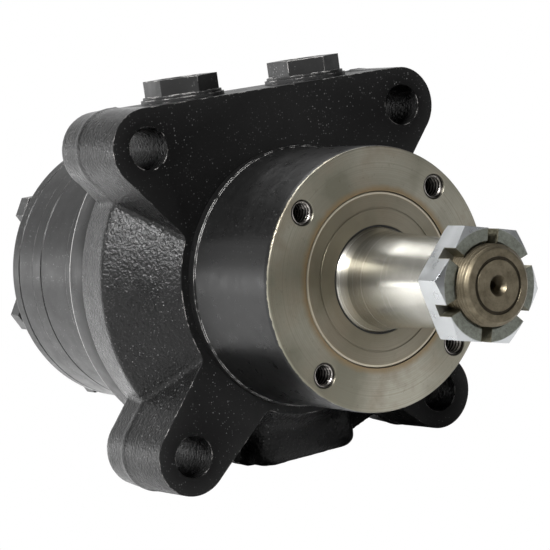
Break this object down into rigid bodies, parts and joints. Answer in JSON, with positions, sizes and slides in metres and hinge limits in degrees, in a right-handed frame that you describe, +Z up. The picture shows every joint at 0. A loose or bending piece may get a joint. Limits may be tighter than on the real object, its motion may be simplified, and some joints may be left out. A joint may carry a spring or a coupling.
{
  "type": "hydraulic motor",
  "caption": "Wheel-mount hydraulic orbital motor with an eared cast housing, a tapered output shaft with a slotted nut, plugged top ports and a bolted ring stack behind.",
  "frame": {"origin": "on the shaft axis, in the plane of the flange's front mounting face", "axes": "-Y along the output shaft toward its threaded end, +Z up through the port face, +X completes the right-handed frame"},
  "size_m": [0.133, 0.2386, 0.1398],
  "materials": {
    "cast_paint": "satin black over rough sand casting, with a bare machined front face",
    "ring_paint": "satin black over turned steel",
    "ground_steel": "ground and lightly oiled",
    "zinc": "bright zinc plate, darker in the slots",
    "key_steel": "plain",
    "bearing_steel": "polished",
    "turned_steel": "turned",
    "hard_steel": "ground flat",
    "seal_rubber": "matt black nitrile",
    "bolt_paint": "satin black, worn at the corners",
    "plug_paint": "black, chipped"
  },
  "bodies": {
    "motor_case": {"housing": "cast_paint", "seal_carrier": "turned_steel", "dust_seal": "seal_rubber", "shaft_seal": "seal_rubber", "backup_washer": "hard_steel", "front_bearing_cup": "bearing_steel", "rear_bearing_cup": "bearing_steel", "thrust_washer": "hard_steel", "wear_plate": "ring_paint", "stator_ring": "ring_paint", "manifold": "ring_paint", "commutator_ring": "ring_paint", "end_cover": "ring_paint", "end_cover_bolts": "bolt_paint", "section_seal_1": "seal_rubber", "section_seal_2": "seal_rubber", "section_seal_3": "seal_rubber", "section_seal_4": "seal_rubber", "section_seal_5": "seal_rubber", "port_plug_left": "plug_paint", "port_plug_right": "plug_paint", "plug_washer_left": "ring_paint", "plug_washer_right": "ring_paint"},
    "shaft": {"output_shaft": "ground_steel", "shaft_key": "key_steel", "slotted_nut": "zinc"},
    "front_cage": {"front_bearing_rollers": "bearing_steel"},
    "rear_cage": {"rear_bearing_rollers": "bearing_steel"},
    "thrust_cage": {"thrust_bearing": "bearing_steel"},
    "orbiter": {"commutator": "hard_steel", "commutator_seal": "seal_rubber"},
    "rotor": {"rotor": "hard_steel"},
    "link": {"drive_link": "hard_steel"},
    "roller_1": {"roller_1": "bearing_steel"},
    "roller_2": {"roller_2": "bearing_steel"},
    "roller_3": {"roller_3": "bearing_steel"},
    "roller_4": {"roller_4": "bearing_steel"},
    "roller_5": {"roller_5": "bearing_steel"},
    "roller_6": {"roller_6": "bearing_steel"},
    "roller_7": {"roller_7": "bearing_steel"}
  },
  "joints": [
    {"name": "shaft_spin", "type": "hinge", "parent": "motor_case", "child": "shaft", "pos_m": [0, -0.0735, 0], "axis": [0, 1, 0], "continuous": true},
    {"name": "front_cage_spin", "type": "hinge", "parent": "motor_case", "child": "front_cage", "pos_m": [0, -0.025, 0], "axis": [0, 1, 0], "continuous": true},
    {"name": "rear_cage_spin", "type": "hinge", "parent": "motor_case", "child": "rear_cage", "pos_m": [0, 0.012, 0], "axis": [0, 1, 0], "continuous": true},
    {"name": "thrust_cage_spin", "type": "hinge", "parent": "motor_case", "child": "thrust_cage", "pos_m": [0, -0.008, 0], "axis": [0, 1, 0], "continuous": true},
    {"name": "orbit", "type": "hinge", "parent": "motor_case", "child": "orbiter", "pos_m": [0, 0.111, 0], "axis": [0, 1, 0], "continuous": true},
    {"name": "rotor_spin", "type": "hinge", "parent": "orbiter", "child": "rotor", "pos_m": [0, 0.0884, -0.0028], "axis": [0, 1, 0], "continuous": true},
    {"name": "link_spin", "type": "hinge", "parent": "orbiter", "child": "link", "pos_m": [0, 0.012, 0], "axis": [0, 0.9993, -0.0366], "continuous": true},
    {"name": "roller_1_spin", "type": "hinge", "parent": "motor_case", "child": "roller_1", "pos_m": [0, 0.0884, -0.031], "axis": [0, 1, 0], "continuous": true},
    {"name": "roller_2_spin", "type": "hinge", "parent": "motor_case", "child": "roller_2", "pos_m": [0.02424, 0.0884, -0.01933], "axis": [0, 1, 0], "continuous": true},
    {"name": "roller_3_spin", "type": "hinge", "parent": "motor_case", "child": "roller_3", "pos_m": [0.03022, 0.0884, 0.0069], "axis": [0, 1, 0], "continuous": true},
    {"name": "roller_4_spin", "type": "hinge", "parent": "motor_case", "child": "roller_4", "pos_m": [0.01345, 0.0884, 0.02793], "axis": [0, 1, 0], "continuous": true},
    {"name": "roller_5_spin", "type": "hinge", "parent": "motor_case", "child": "roller_5", "pos_m": [-0.01345, 0.0884, 0.02793], "axis": [0, 1, 0], "continuous": true},
    {"name": "roller_6_spin", "type": "hinge", "parent": "motor_case", "child": "roller_6", "pos_m": [-0.03022, 0.0884, 0.0069], "axis": [0, 1, 0], "continuous": true},
    {"name": "roller_7_spin", "type": "hinge", "parent": "motor_case", "child": "roller_7", "pos_m": [-0.02424, 0.0884, -0.01933], "axis": [0, 1, 0], "continuous": true}
  ],
  "couplings": [
    {"joint": "front_cage_spin", "follows": "shaft_spin", "ratio": 0.44384},
    {"joint": "rear_cage_spin", "follows": "shaft_spin", "ratio": 0.4485},
    {"joint": "thrust_cage_spin", "follows": "shaft_spin", "ratio": 0.5},
    {"joint": "orbit", "follows": "shaft_spin", "ratio": -6},
    {"joint": "rotor_spin", "follows": "shaft_spin", "ratio": 7},
    {"joint": "link_spin", "follows": "shaft_spin", "ratio": 7}
  ]
}
